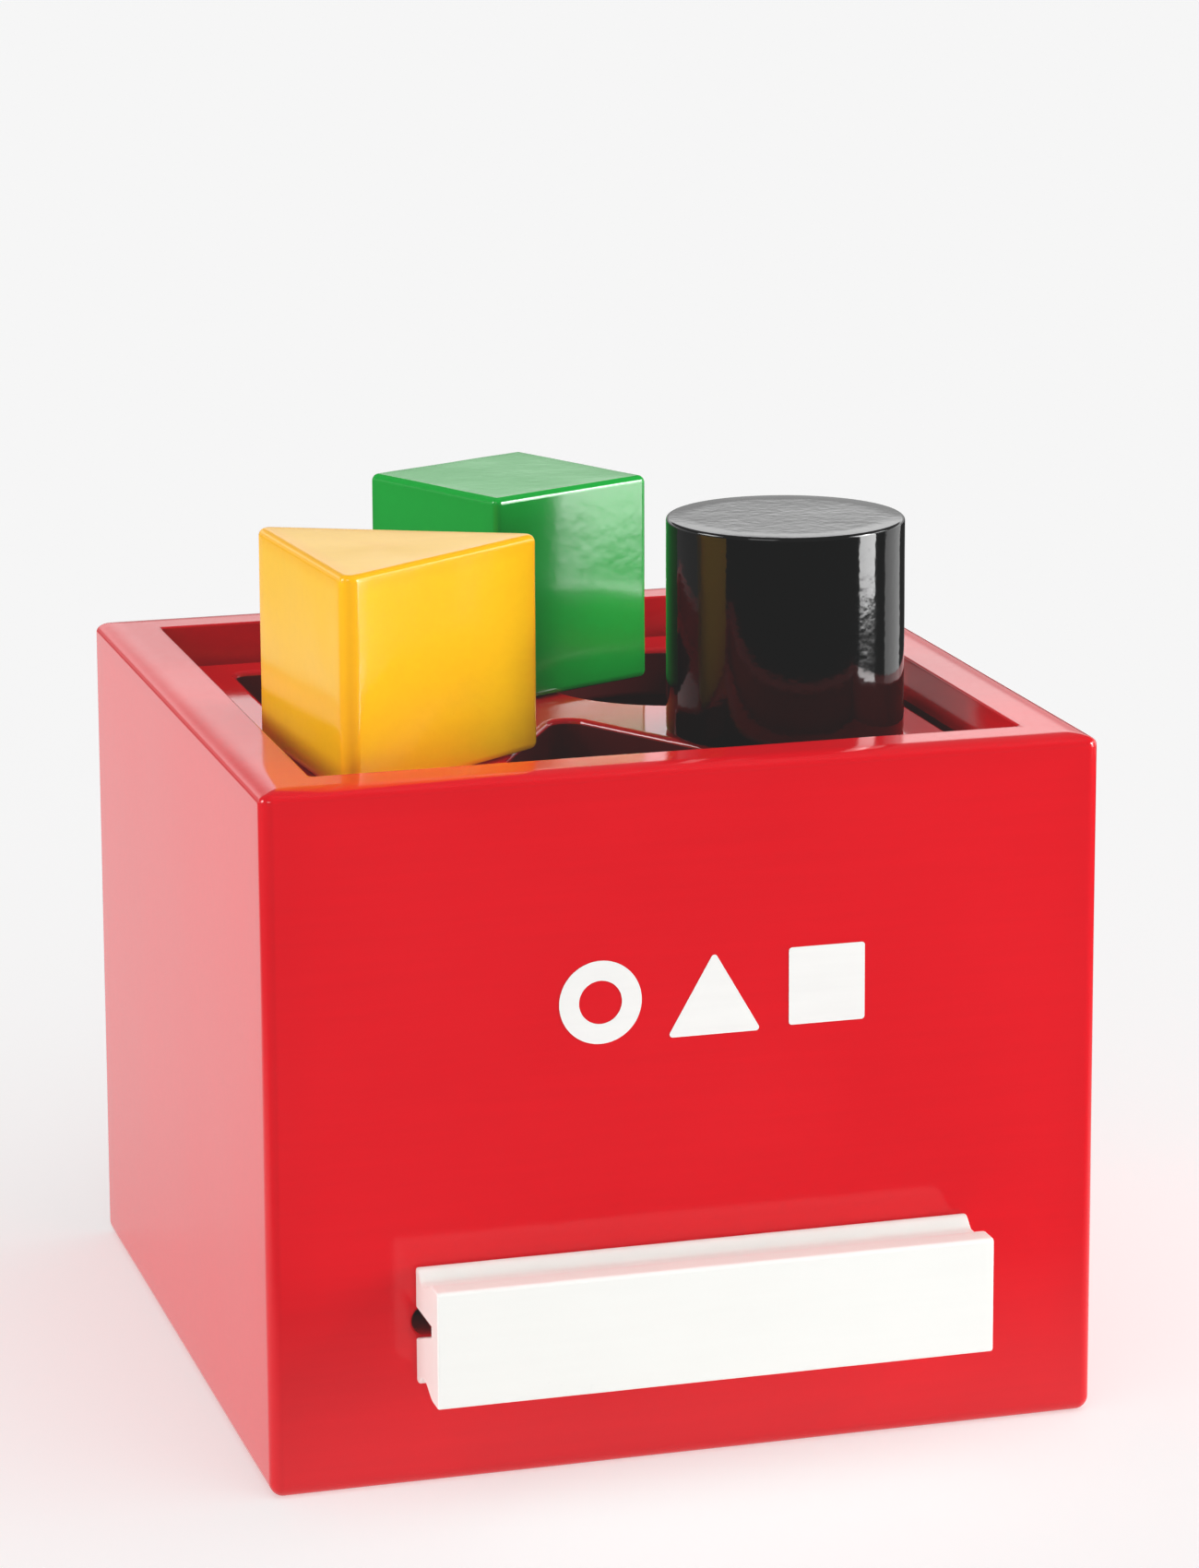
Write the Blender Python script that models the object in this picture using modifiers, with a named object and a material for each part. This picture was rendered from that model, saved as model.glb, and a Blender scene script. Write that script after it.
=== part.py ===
"""Wooden shape sorter: an open-bottomed box with a loose lid, a pull-out floor and three blocks.

Units are metres, +Z is up and the front face looks along -Y. The origin is on the surface that the
box stands on, in the middle of the outer box of the whole object, grip bar included.
"""

import math

import bmesh
import bpy
from mathutils import Matrix, Vector

GAP = 0.0003                      # clearance between pieces that touch

# Box
BOX_WIDTH = 0.158                 # the plan is square
BOX_HEIGHT = 0.1308
WALL = 0.0117
EDGE_RADIUS = 0.0028              # outer edges of the painted box
INSIDE = BOX_WIDTH - 2 * WALL     # clear width between the walls

# Lid, which lies loose in a recess below the rim
RECESS = 0.0078
LID_SIZE = 0.1298
LID_THICKNESS = 0.010
LID_EDGE_RADIUS = 0.0012
LID_CORNER_RADIUS = 0.002
LID_TOP = BOX_HEIGHT - RECESS
LID_UNDERSIDE = LID_TOP - LID_THICKNESS

SQUARE_HOLE_SIDE = 0.049
SQUARE_HOLE_CENTRE = (-0.0305, 0.0315)
SQUARE_HOLE_CORNER = 0.0035
ROUND_HOLE_RADIUS = 0.026
ROUND_HOLE_CENTRE = (0.0285, 0.0265)
TRIANGLE_HOLE_SIDE = 0.060
TRIANGLE_HOLE_APEX = (-0.0028, -0.0005)
TRIANGLE_HOLE_CORNER = 0.004

# Cleats that carry the lid
CLEAT_WIDTH = 0.008
CLEAT_HEIGHT = 0.009

# Pull-out floor: a plate in two grooved runners, with a grip bar across its front edge
PLATE_THICKNESS = 0.005
PLATE_WIDTH = 0.0974
PLATE_CENTRE_Z = 0.0313
SLOT_HEIGHT = PLATE_THICKNESS + 2 * GAP
SLOT_LENGTH = 0.1052
RUNNER_INNER_X = 0.045
RUNNER_HEIGHT = 0.0175
RUNNER_GROOVE_DEPTH = 0.0042
STOP_DEPTH = 0.008
STOP_HEIGHT = 0.006

BAR_LENGTH = 0.105
BAR_HEIGHT = 0.0218
BAR_DEPTH = 0.0158
BAR_CENTRE_X = 0.0005             # the bar is glued on a little to the right of the middle
BAR_CENTRE_Z = 0.031
BAR_GROOVE_DEPTH = 0.011
BAR_COVE_DEPTH = 0.0019           # finger coves along the top and the underside
BAR_COVE_START = 0.0012
BAR_COVE_BED = (0.0042, 0.0060)
BAR_COVE_END = 0.0118
BAR_EDGE_RADIUS = 0.0008

# Dowels in the corner joints
DOWEL_RADIUS = 0.003
DOWEL_LENGTH = 0.024
DOWEL_IN_FRONT_WALL = 0.008       # how far each dowel enters the front or back wall
DOWEL_HEIGHTS = {"low": 0.052, "high": 0.096}

# Blocks
BLOCK_HEIGHT = 0.0412
BLOCK_EDGE_RADIUS = 0.0014
BLOCK_BASE = LID_TOP + GAP
CUBE_SIDE = 0.0395
CUBE_CENTRE = (-0.0028, 0.0349)
CUBE_TURN = math.radians(25.2)
PRISM_SIDE = 0.0563               # between the sharp corners, before they are rounded
PRISM_CENTRE = (-0.0452, -0.0298)
PRISM_TURN = math.radians(4.6)
PRISM_EDGE_RADIUS = 0.0023
CYLINDER_RADIUS = 0.0228
CYLINDER_CENTRE = (0.0357, -0.0249)

# The grip bar stands out in front, so the box sits half of that towards the back
BAR_STAND_OUT = GAP + BAR_DEPTH
BOX_CENTRE_Y = BAR_STAND_OUT / 2

FRONT = -BOX_WIDTH / 2            # outer front face, measured from the middle of the box
CUT_MARGIN = 0.002                # how far a cutter runs past the face that it cuts


def clear_scene():
    for obj in list(bpy.data.objects):
        bpy.data.objects.remove(obj, do_unlink=True)


def make_collection(name):
    collection = bpy.data.collections.new(name)
    bpy.context.scene.collection.children.link(collection)
    return collection


def make_material(name, colour, roughness):
    material = bpy.data.materials.new(name)
    material.use_nodes = True
    shader = material.node_tree.nodes["Principled BSDF"]
    shader.inputs["Base Color"].default_value = (*colour, 1.0)
    shader.inputs["Roughness"].default_value = roughness
    shader.inputs["Metallic"].default_value = 0.0
    return material


def adopt(obj, collection, name, material=None):
    """Name an object, give it its material and move it to its collection."""
    obj.name = name
    obj.data.name = name
    for owner in list(obj.users_collection):
        owner.objects.unlink(obj)
    collection.objects.link(obj)
    if material is not None:
        obj.data.materials.clear()
        obj.data.materials.append(material)
    return obj


def smooth(obj, angle=40.0):
    obj.data.shade_smooth()
    obj.data.set_sharp_from_angle(angle=math.radians(angle))


def box(collection, name, low, high, material=None):
    """A rectangular block between two corners, both measured from the middle of the box."""
    low = Vector(low)
    high = Vector(high)
    middle = (low + high) / 2 + Vector((0.0, BOX_CENTRE_Y, 0.0))
    bpy.ops.mesh.primitive_cube_add(size=1.0, location=middle)
    obj = bpy.context.object
    obj.scale = high - low
    bpy.ops.object.transform_apply(location=False, rotation=False, scale=True)
    return adopt(obj, collection, name, material)


def rod(collection, name, radius, length, centre, along, sides=32, material=None):
    """A cylinder along X, Y or Z."""
    turn = {"X": (0.0, math.pi / 2, 0.0), "Y": (math.pi / 2, 0.0, 0.0), "Z": (0.0, 0.0, 0.0)}[along]
    place = Vector(centre) + Vector((0.0, BOX_CENTRE_Y, 0.0))
    bpy.ops.mesh.primitive_cylinder_add(
        vertices=sides, radius=radius, depth=length, location=place, rotation=turn)
    return adopt(bpy.context.object, collection, name, material)


def bevel(obj, width, segments=2, angle=30.0):
    modifier = obj.modifiers.new("rounded_edges", "BEVEL")
    modifier.width = width
    modifier.segments = segments
    modifier.limit_method = "ANGLE"
    modifier.angle_limit = math.radians(angle)
    return modifier


def combine(obj, other, operation):
    modifier = obj.modifiers.new(operation.lower() + "_" + other.name, "BOOLEAN")
    modifier.operation = operation
    modifier.object = other
    modifier.solver = "EXACT"


def hide_cutter(obj):
    obj.hide_render = True
    obj.display_type = "WIRE"
    return obj


def arc(centre, radius, start, end, steps):
    """Points of a circular arc, both ends included."""
    points = []
    for i in range(steps + 1):
        angle = start + (end - start) * i / steps
        points.append((centre[0] + radius * math.cos(angle), centre[1] + radius * math.sin(angle)))
    return points


def rounded_polygon(corners, radius, steps):
    """A convex polygon, listed anticlockwise, with each corner turned into an arc."""
    points = []
    count = len(corners)
    for i in range(count):
        corner = Vector(corners[i])
        before = (Vector(corners[i - 1]) - corner).normalized()
        after = (Vector(corners[(i + 1) % count]) - corner).normalized()
        half = before.angle(after) / 2
        centre = corner + (before + after).normalized() * radius / math.sin(half)
        sweep = math.pi - 2 * half
        middle = math.atan2(corner.y - centre.y, corner.x - centre.x)
        points += arc(centre, radius, middle - sweep / 2, middle + sweep / 2, steps)
    return points


def square_corners(centre, side):
    half = side / 2
    x, y = centre
    return [(x - half, y - half), (x + half, y - half), (x + half, y + half), (x - half, y + half)]


def triangle_corners(apex, side):
    """An equilateral triangle whose apex points to the back."""
    x, y = apex
    base = y - side * math.sqrt(3) / 2
    return [(x - side / 2, base), (x + side / 2, base), (x, y)]


def outline_solid(collection, name, outlines, thickness, edge_radius, material):
    """A flat plate from closed outlines, the holes among them, with its edges rounded over."""
    curve = bpy.data.curves.new(name + "_outline", "CURVE")
    curve.dimensions = "2D"
    curve.fill_mode = "BOTH"
    curve.extrude = thickness / 2 - edge_radius
    curve.bevel_depth = edge_radius
    curve.bevel_resolution = 1
    curve.offset = -edge_radius
    for points in outlines:
        spline = curve.splines.new("POLY")
        spline.points.add(len(points) - 1)
        for point, (x, y) in zip(spline.points, points):
            point.co = (x, y, 0.0, 1.0)
        spline.use_cyclic_u = True
    guide = bpy.data.objects.new(name + "_outline", curve)
    bpy.context.scene.collection.objects.link(guide)
    bpy.context.view_layer.update()
    evaluated = guide.evaluated_get(bpy.context.evaluated_depsgraph_get())
    mesh = bpy.data.meshes.new_from_object(evaluated)
    bpy.data.objects.remove(guide, do_unlink=True)
    welded = bmesh.new()
    welded.from_mesh(mesh)
    bmesh.ops.remove_doubles(welded, verts=welded.verts, dist=0.000005)
    bmesh.ops.recalc_face_normals(welded, faces=welded.faces)
    welded.to_mesh(mesh)
    welded.free()
    obj = bpy.data.objects.new(name, mesh)
    bpy.context.scene.collection.objects.link(obj)
    return adopt(obj, collection, name, material)


def make_box_blank(parts, cutters, name, material):
    """The whole box as one hollow block with rounded outer edges, from which each wall is taken."""
    half = BOX_WIDTH / 2
    blank = box(parts, name, (-half, -half, 0.0), (half, half, BOX_HEIGHT), material)
    bevel(blank, EDGE_RADIUS, segments=4)
    hollow = box(
        cutters, name + "_hollow_cutter",
        (-INSIDE / 2, -INSIDE / 2, -CUT_MARGIN), (INSIDE / 2, INSIDE / 2, BOX_HEIGHT + CUT_MARGIN))
    combine(blank, hide_cutter(hollow), "DIFFERENCE")
    return blank


def make_wall(parts, cutters, name, low_xy, high_xy, material):
    """One wall: the stretch of the box blank between two corners in plan."""
    wall = make_box_blank(parts, cutters, name, material)
    low = (*low_xy, -CUT_MARGIN)
    high = (*high_xy, BOX_HEIGHT + CUT_MARGIN)
    region = box(cutters, name + "_region", low, high)
    combine(wall, hide_cutter(region), "INTERSECT")
    return wall


def make_walls(parts, cutters, material):
    """Front and back walls run the full width; the side walls stand between them."""
    outer = BOX_WIDTH / 2 + CUT_MARGIN
    inner = INSIDE / 2
    side = inner - GAP
    walls = {}
    walls["front_wall"] = make_wall(
        parts, cutters, "front_wall", (-outer, -outer), (outer, -inner), material)
    walls["back_wall"] = make_wall(
        parts, cutters, "back_wall", (-outer, inner), (outer, outer), material)
    walls["left_wall"] = make_wall(
        parts, cutters, "left_wall", (-outer, -side), (-inner, side), material)
    walls["right_wall"] = make_wall(
        parts, cutters, "right_wall", (inner, -side), (outer, side), material)
    return walls


def cut_slot(cutters, front_wall):
    """The round-ended slot in the front wall, through which the floor plate is pulled."""
    steps = 10
    radius = SLOT_HEIGHT / 2
    reach = SLOT_LENGTH / 2 - radius
    right_end = arc((reach, 0.0), radius, -math.pi / 2, math.pi / 2, steps)
    left_end = arc((-reach, 0.0), radius, math.pi / 2, 3 * math.pi / 2, steps)
    thickness = WALL + 2 * CUT_MARGIN
    cutter = outline_solid(
        cutters, "slot_cutter", [right_end + left_end], thickness, 0.0, None)
    cutter.rotation_euler = (math.pi / 2, 0.0, 0.0)
    cutter.location = (0.0, FRONT + WALL / 2 + BOX_CENTRE_Y, PLATE_CENTRE_Z)
    combine(front_wall, hide_cutter(cutter), "DIFFERENCE")


def make_dowels(parts, cutters, walls, material):
    """Two dowels in each corner joint, in blind holes in both walls."""
    joint_y = INSIDE / 2
    for end, direction in (("front", -1), ("back", 1)):
        centre_y = direction * (joint_y + DOWEL_IN_FRONT_WALL - DOWEL_LENGTH / 2)
        for side, sign in (("left", -1), ("right", 1)):
            centre_x = sign * (INSIDE + WALL) / 2
            for level, height in DOWEL_HEIGHTS.items():
                place = (centre_x, centre_y, height)
                label = "_".join(("dowel", end, side, level))
                dowel = rod(
                    parts, label, DOWEL_RADIUS, DOWEL_LENGTH, place, "Y", 20, material)
                bevel(dowel, 0.0006, segments=1)
                smooth(dowel)
                hole = rod(
                    cutters, label + "_hole", DOWEL_RADIUS + GAP, DOWEL_LENGTH + 2 * GAP,
                    place, "Y", 20)
                hide_cutter(hole)
                combine(walls[end + "_wall"], hole, "DIFFERENCE")
                combine(walls[side + "_wall"], hole, "DIFFERENCE")


def make_cleats(parts, material):
    """Four strips glued inside the walls, on which the lid rests."""
    outer = INSIDE / 2 - GAP
    inner = outer - CLEAT_WIDTH
    top = LID_UNDERSIDE - GAP
    bottom = top - CLEAT_HEIGHT
    cleats = {
        "lid_cleat_front": ((-outer, -outer, bottom), (outer, -inner, top)),
        "lid_cleat_back": ((-outer, inner, bottom), (outer, outer, top)),
        "lid_cleat_left": ((-outer, -inner + GAP, bottom), (-inner, inner - GAP, top)),
        "lid_cleat_right": ((inner, -inner + GAP, bottom), (outer, inner - GAP, top)),
    }
    for name, (low, high) in cleats.items():
        cleat = box(parts, name, low, high, material)
        bevel(cleat, 0.0006, segments=1)


def make_runners(parts, cutters, material):
    """Grooved strips along the side walls, which carry and guide the floor plate."""
    outer = INSIDE / 2 - GAP
    low_z = PLATE_CENTRE_Z - RUNNER_HEIGHT / 2
    high_z = PLATE_CENTRE_Z + RUNNER_HEIGHT / 2
    groove_x = RUNNER_INNER_X + RUNNER_GROOVE_DEPTH
    for side, sign in (("left", -1), ("right", 1)):
        near, far = sorted((sign * RUNNER_INNER_X, sign * outer))
        runner = box(
            parts, "floor_runner_" + side, (near, -outer, low_z), (far, outer, high_z), material)
        bevel(runner, 0.0006, segments=1)
        mouth = sign * (RUNNER_INNER_X - CUT_MARGIN)
        near, far = sorted((mouth, sign * groove_x))
        groove = box(
            cutters, "runner_groove_" + side,
            (near, -INSIDE / 2 - CUT_MARGIN, PLATE_CENTRE_Z - SLOT_HEIGHT / 2),
            (far, INSIDE / 2 + CUT_MARGIN, PLATE_CENTRE_Z + SLOT_HEIGHT / 2))
        combine(runner, hide_cutter(groove), "DIFFERENCE")


def make_floor_plate(parts, material):
    front_edge = FRONT - GAP - BAR_GROOVE_DEPTH + GAP
    back_edge = INSIDE / 2 - 3 * GAP
    half = PLATE_WIDTH / 2
    low = (-half, front_edge, PLATE_CENTRE_Z - PLATE_THICKNESS / 2)
    high = (half, back_edge, PLATE_CENTRE_Z + PLATE_THICKNESS / 2)
    plate = box(parts, "floor_plate", low, high, material)
    bevel(plate, 0.0004, segments=1)


def make_stop_batten(parts, material):
    """A strip on the back of the plate, which meets the front wall when the floor is drawn out."""
    half = RUNNER_INNER_X - 3 * GAP
    back = INSIDE / 2 - 4 * GAP
    bottom = PLATE_CENTRE_Z + PLATE_THICKNESS / 2 + GAP
    low = (-half, back - STOP_DEPTH, bottom)
    high = (half, back, bottom + STOP_HEIGHT)
    batten = box(parts, "stop_batten", low, high, material)
    bevel(batten, 0.0008, segments=2)


def cove(depth):
    """How far the bar's edge is hollowed at a distance from its back, as a fraction of the cove."""
    if depth <= BAR_COVE_START or depth >= BAR_COVE_END:
        return 0.0
    if depth < BAR_COVE_BED[0]:
        part = (depth - BAR_COVE_START) / (BAR_COVE_BED[0] - BAR_COVE_START)
    elif depth > BAR_COVE_BED[1]:
        part = (BAR_COVE_END - depth) / (BAR_COVE_END - BAR_COVE_BED[1])
    else:
        part = 1.0
    return part * part * (3.0 - 2.0 * part)


def bar_outline():
    """The bar's cross-section: x is the distance from its back, y the height from its middle."""
    half = BAR_HEIGHT / 2
    radius = BAR_EDGE_RADIUS
    steps = 24
    span = BAR_DEPTH - 2 * radius
    upper = []
    for i in range(steps + 1):
        depth = radius + span * i / steps
        upper.append((depth, half - BAR_COVE_DEPTH * cove(depth)))
    lower = [(depth, -height) for depth, height in reversed(upper)]
    front_top = arc((BAR_DEPTH - radius, half - radius), radius, math.pi / 2, 0.0, 3)[1:]
    front_bottom = arc((BAR_DEPTH - radius, radius - half), radius, 0.0, -math.pi / 2, 3)[:-1]
    back_bottom = arc((radius, radius - half), radius, -math.pi / 2, -math.pi, 3)[1:]
    back_top = arc((radius, half - radius), radius, math.pi, math.pi / 2, 3)[:-1]
    middle = PLATE_CENTRE_Z - BAR_CENTRE_Z
    low = middle - SLOT_HEIGHT / 2
    high = middle + SLOT_HEIGHT / 2
    groove = [(0.0, low), (BAR_GROOVE_DEPTH, low), (BAR_GROOVE_DEPTH, high), (0.0, high)]
    return upper + front_top + front_bottom + lower + back_bottom + groove + back_top


def make_pull_bar(parts, material):
    """The grip bar: coved along both long edges and grooved along its back for the plate."""
    bar = outline_solid(
        parts, "pull_bar", [bar_outline()], BAR_LENGTH, BAR_EDGE_RADIUS / 2, material)
    # Outline x runs to the front (-Y), outline y runs up, and its thickness runs along X
    turn = Matrix(((0.0, 0.0, -1.0), (-1.0, 0.0, 0.0), (0.0, 1.0, 0.0)))
    bar.data.transform(turn.to_4x4())
    if turn.determinant() < 0:
        bar.data.flip_normals()
    bar.location = (BAR_CENTRE_X, FRONT - GAP + BOX_CENTRE_Y, BAR_CENTRE_Z)
    smooth(bar)


def make_lid(parts, material):
    corner_steps = 5
    round_steps = 64
    circle = arc(ROUND_HOLE_CENTRE, ROUND_HOLE_RADIUS, 0.0, 2 * math.pi, round_steps)[:-1]
    outlines = [
        rounded_polygon(square_corners((0.0, 0.0), LID_SIZE), LID_CORNER_RADIUS, corner_steps),
        rounded_polygon(
            square_corners(SQUARE_HOLE_CENTRE, SQUARE_HOLE_SIDE), SQUARE_HOLE_CORNER, corner_steps),
        rounded_polygon(
            triangle_corners(TRIANGLE_HOLE_APEX, TRIANGLE_HOLE_SIDE), TRIANGLE_HOLE_CORNER, 8),
        circle,
    ]
    lid = outline_solid(parts, "lid", outlines, LID_THICKNESS, LID_EDGE_RADIUS, material)
    lid.location = (0.0, BOX_CENTRE_Y, LID_UNDERSIDE + LID_THICKNESS / 2)
    smooth(lid)


def make_cube_block(parts, material):
    half = CUBE_SIDE / 2
    block = box(parts, "cube_block", (-half, -half, 0.0), (half, half, BLOCK_HEIGHT), material)
    block.location.x = CUBE_CENTRE[0]
    block.location.y = CUBE_CENTRE[1] + BOX_CENTRE_Y
    block.location.z = BLOCK_BASE + BLOCK_HEIGHT / 2
    block.rotation_euler.z = CUBE_TURN
    bevel(block, BLOCK_EDGE_RADIUS, segments=3)
    smooth(block)


def make_prism_block(parts, material):
    place = (*PRISM_CENTRE, BLOCK_BASE + BLOCK_HEIGHT / 2)
    block = rod(
        parts, "prism_block", PRISM_SIDE / math.sqrt(3), BLOCK_HEIGHT, place, "Z", 3, material)
    corner = max(block.data.vertices, key=lambda vertex: vertex.co.x + vertex.co.y / 10)
    block.rotation_euler.z = PRISM_TURN - math.atan2(corner.co.y, corner.co.x)
    bevel(block, PRISM_EDGE_RADIUS, segments=3)
    smooth(block)


def make_cylinder_block(parts, material):
    place = (*CYLINDER_CENTRE, BLOCK_BASE + BLOCK_HEIGHT / 2)
    block = rod(
        parts, "cylinder_block", CYLINDER_RADIUS, BLOCK_HEIGHT, place, "Z", 72, material)
    bevel(block, BLOCK_EDGE_RADIUS, segments=3)
    smooth(block)


def main():
    clear_scene()
    parts = make_collection("shape_sorter")
    cutters = make_collection("cutters")
    red = make_material("red_lacquer", (0.72, 0.012, 0.022), 0.22)
    wood = make_material("bare_beech", (0.62, 0.42, 0.24), 0.6)
    walls = make_walls(parts, cutters, red)
    cut_slot(cutters, walls["front_wall"])
    make_dowels(parts, cutters, walls, wood)
    make_cleats(parts, make_material("red_cleat", (0.66, 0.012, 0.02), 0.3))
    make_runners(parts, cutters, make_material("red_runner", (0.66, 0.012, 0.02), 0.3))
    make_floor_plate(parts, make_material("red_plate", (0.7, 0.012, 0.02), 0.25))
    make_stop_batten(parts, make_material("red_batten", (0.7, 0.012, 0.02), 0.25))
    make_pull_bar(parts, make_material("white_lacquer", (0.88, 0.86, 0.82), 0.28))
    make_lid(parts, make_material("red_lid", (0.72, 0.012, 0.022), 0.2))
    make_cube_block(parts, make_material("green_lacquer", (0.01, 0.29, 0.045), 0.18))
    make_prism_block(parts, make_material("yellow_lacquer", (0.95, 0.55, 0.008), 0.18))
    make_cylinder_block(parts, make_material("black_lacquer", (0.012, 0.012, 0.013), 0.12))


main()
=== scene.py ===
"""Looks of the wooden shape sorter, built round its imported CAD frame. Metres, +Z up, front along -Y."""

import math

import bmesh
import bpy
from mathutils import Matrix, Vector, noise

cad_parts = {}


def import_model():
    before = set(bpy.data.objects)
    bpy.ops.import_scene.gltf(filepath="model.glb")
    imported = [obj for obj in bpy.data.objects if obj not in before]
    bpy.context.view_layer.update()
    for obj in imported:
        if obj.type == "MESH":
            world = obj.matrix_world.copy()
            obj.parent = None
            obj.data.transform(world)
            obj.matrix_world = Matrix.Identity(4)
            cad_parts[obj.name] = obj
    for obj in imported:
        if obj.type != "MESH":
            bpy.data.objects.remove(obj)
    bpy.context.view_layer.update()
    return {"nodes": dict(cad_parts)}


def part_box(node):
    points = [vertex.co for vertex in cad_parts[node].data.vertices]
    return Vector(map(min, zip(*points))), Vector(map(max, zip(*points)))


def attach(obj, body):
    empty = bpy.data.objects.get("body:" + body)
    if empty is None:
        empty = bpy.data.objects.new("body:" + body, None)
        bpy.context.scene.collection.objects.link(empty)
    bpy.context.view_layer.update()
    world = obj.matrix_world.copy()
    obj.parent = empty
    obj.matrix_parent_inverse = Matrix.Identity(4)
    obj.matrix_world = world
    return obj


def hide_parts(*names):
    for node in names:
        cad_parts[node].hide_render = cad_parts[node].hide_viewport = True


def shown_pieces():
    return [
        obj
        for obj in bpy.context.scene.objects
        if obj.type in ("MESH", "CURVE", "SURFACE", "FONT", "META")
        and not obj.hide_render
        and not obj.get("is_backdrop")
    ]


GAP = 0.0003                    # clearance between touching pieces, as in the CAD

# Painted box
WALLS = ("front_wall", "back_wall", "left_wall", "right_wall")
BOX_CORNER_RADIUS = 0.0026
BOX_FOOT_RADIUS = 0.0028
RIM_FALL = (0.0055, 0.0022)     # how far in and how far down the lacquer pulls the top edge
RIM_POWER = 2.3                 # superellipse of that edge
INNER_EDGE_RADIUS = 0.0005      # inner edges, rounded only by the lacquer
SLOT_LENGTH = 0.1052
BOX_UNEVEN = 0.00009            # how deep the lacquer's waves are, and how wide
BOX_WAVES = 0.028

# Lid and its holes, placed from the middle of the lid
LID_EDGE_RADIUS = 0.0013
LID_CORNER_RADIUS = 0.002
SQUARE_HOLE_SIDE = 0.049
SQUARE_HOLE_CENTRE = (-0.0305, 0.0315)
SQUARE_HOLE_CORNER = 0.0035
ROUND_HOLE_RADIUS = 0.026
ROUND_HOLE_CENTRE = (0.0285, 0.0265)
TRIANGLE_HOLE_SIDE = 0.060
TRIANGLE_HOLE_APEX = (-0.0028, -0.0005)
TRIANGLE_HOLE_CORNER = 0.004

# Blocks
CUBE_SIDE = 0.0395
CUBE_TURN = math.radians(25.2)
PRISM_SIDE = 0.0563             # between its sharp corners
PRISM_TURN = math.radians(4.6)
BLOCK_EDGE_RADIUS = 0.0015
PRISM_EDGE_RADIUS = 0.0023
CYLINDER_EDGE_RADIUS = 0.0007
BLOCK_UNEVEN = 0.0001           # how deep the waves of hand sanding are
CYLINDER_UNEVEN = 0.00005
BLOCK_WAVES = 0.011             # how wide they are

# Grip bar, in its own section: distance from its back and height from its middle
BAR_GROOVE_DEPTH = 0.011
BAR_COVE_DEPTH = 0.0019
BAR_COVE_START = 0.0012
BAR_COVE_BED = (0.0042, 0.0060)
BAR_COVE_END = 0.0118
BAR_EDGE_RADIUS = 0.0008
BAR_END_RADIUS = 0.0004
BAR_LIP_RADIUS = 0.0005         # at the mouth of the groove
BAR_UNEVEN = 0.00005
BAR_WAVES = 0.009
BAR_CHOKE = 0.0038              # how far the groove's floor rises at the bar's left end

# Looks of the picture
PALE = 0.912                    # brightness of what the camera sees beyond the table
BLACK_LIFT = 0.0145             # how much the view curve lifts black
TABLE_HALF = 9.0
TABLE_EMISSION = 0.5            # the table's own brightness, on top of the light that it gets
TABLE_TONE = (0.6, 0.6, 0.6)
# TABLE_DARK is painted shade on the table under the box, and the dark of the table's far parts in
# reflections.
TABLE_DARK = (0.03, 0.03, 0.03)
UNDER_BOX_INSET = 0.006         # how far inside the walls the dark table under the box ends
DIM_IN_FRONT = (0.06, 0.165)    # where the table fades from reflections, from the middle
DIM_TO_RIGHT = (0.18, 0.4)
DIM_TO_LEFT = (0.25, 0.4)
DIM_LEFT_SHARE = 0.85

# The studio's sky, by the height, depth and sideways part of the direction
BAND_RISE = (0.172, 0.207)      # heights over which the bright band gets brighter
BAND_LEVELS = (0.5, 1.4)
BAND_FALL = (0.27, 0.33)        # heights over which it falls off again
BAND_TOP_SHARE = 0.09
BAND_BEHIND = (0.0, 0.7)        # from beside the object to behind it
BAND_BEHIND_SHARES = (0.2, 1.0)
BAND_RIGHT = (0.22, 0.33)
BAND_RIGHT_SHARES = (1.0, 1.2)
SKY_DIM = 0.1

# Printed figures on the front: a plain row of a ring, a triangle and a square
PRINT_THICKNESS = 0.00006
PRINT_CENTRE = (0.0045, 0.088)
PRINT_HEIGHT = 0.0155
PRINT_PITCH = 0.0215
PRINT_CORNER = 0.0006
RING_HOLE = 0.52                # share of the ring's width
SQUARE_SHARE = 0.94             # share of the print's height

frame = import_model()


# ---------------------------------------------------------------- mesh tools

def add_object(name, mesh):
    """Put a mesh or a curve in the scene under a name."""
    obj = bpy.data.objects.new(name, mesh)
    bpy.context.scene.collection.objects.link(obj)
    return obj


def object_from(name, bm):
    """Turn a bmesh into an object with smooth shading."""
    bmesh.ops.recalc_face_normals(bm, faces=bm.faces)
    mesh = bpy.data.meshes.new(name)
    bm.to_mesh(mesh)
    bm.free()
    mesh.shade_smooth()
    return add_object(name, mesh)


def bake_modifiers(obj):
    """Replace an object's mesh by what its modifiers make of it."""
    graph = bpy.context.evaluated_depsgraph_get()
    mesh = bpy.data.meshes.new_from_object(obj.evaluated_get(graph))
    obj.modifiers.clear()
    obj.data = mesh
    mesh.name = obj.name
    return obj


def span(*nodes):
    """Lowest and highest corner of several CAD nodes together."""
    boxes = [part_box(node) for node in nodes]
    low = Vector([min(b[0][i] for b in boxes) for i in range(3)])
    high = Vector([max(b[1][i] for b in boxes) for i in range(3)])
    return low, high


def round_edges(obj, radius, segments, angle=40.0):
    """Round every edge that turns by more than the angle."""
    bevel = obj.modifiers.new("round_edges", "BEVEL")
    bevel.width = radius
    bevel.segments = segments
    bevel.limit_method = "ANGLE"
    bevel.angle_limit = math.radians(angle)
    bevel.use_clamp_overlap = True
    return bake_modifiers(obj)


def flatten_shading(obj):
    """Let the large faces set the shading, so that only the rounded edges look round."""
    weighted = obj.modifiers.new("flat_faces", "WEIGHTED_NORMAL")
    weighted.mode = "FACE_AREA"
    weighted.weight = 60
    return obj


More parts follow.
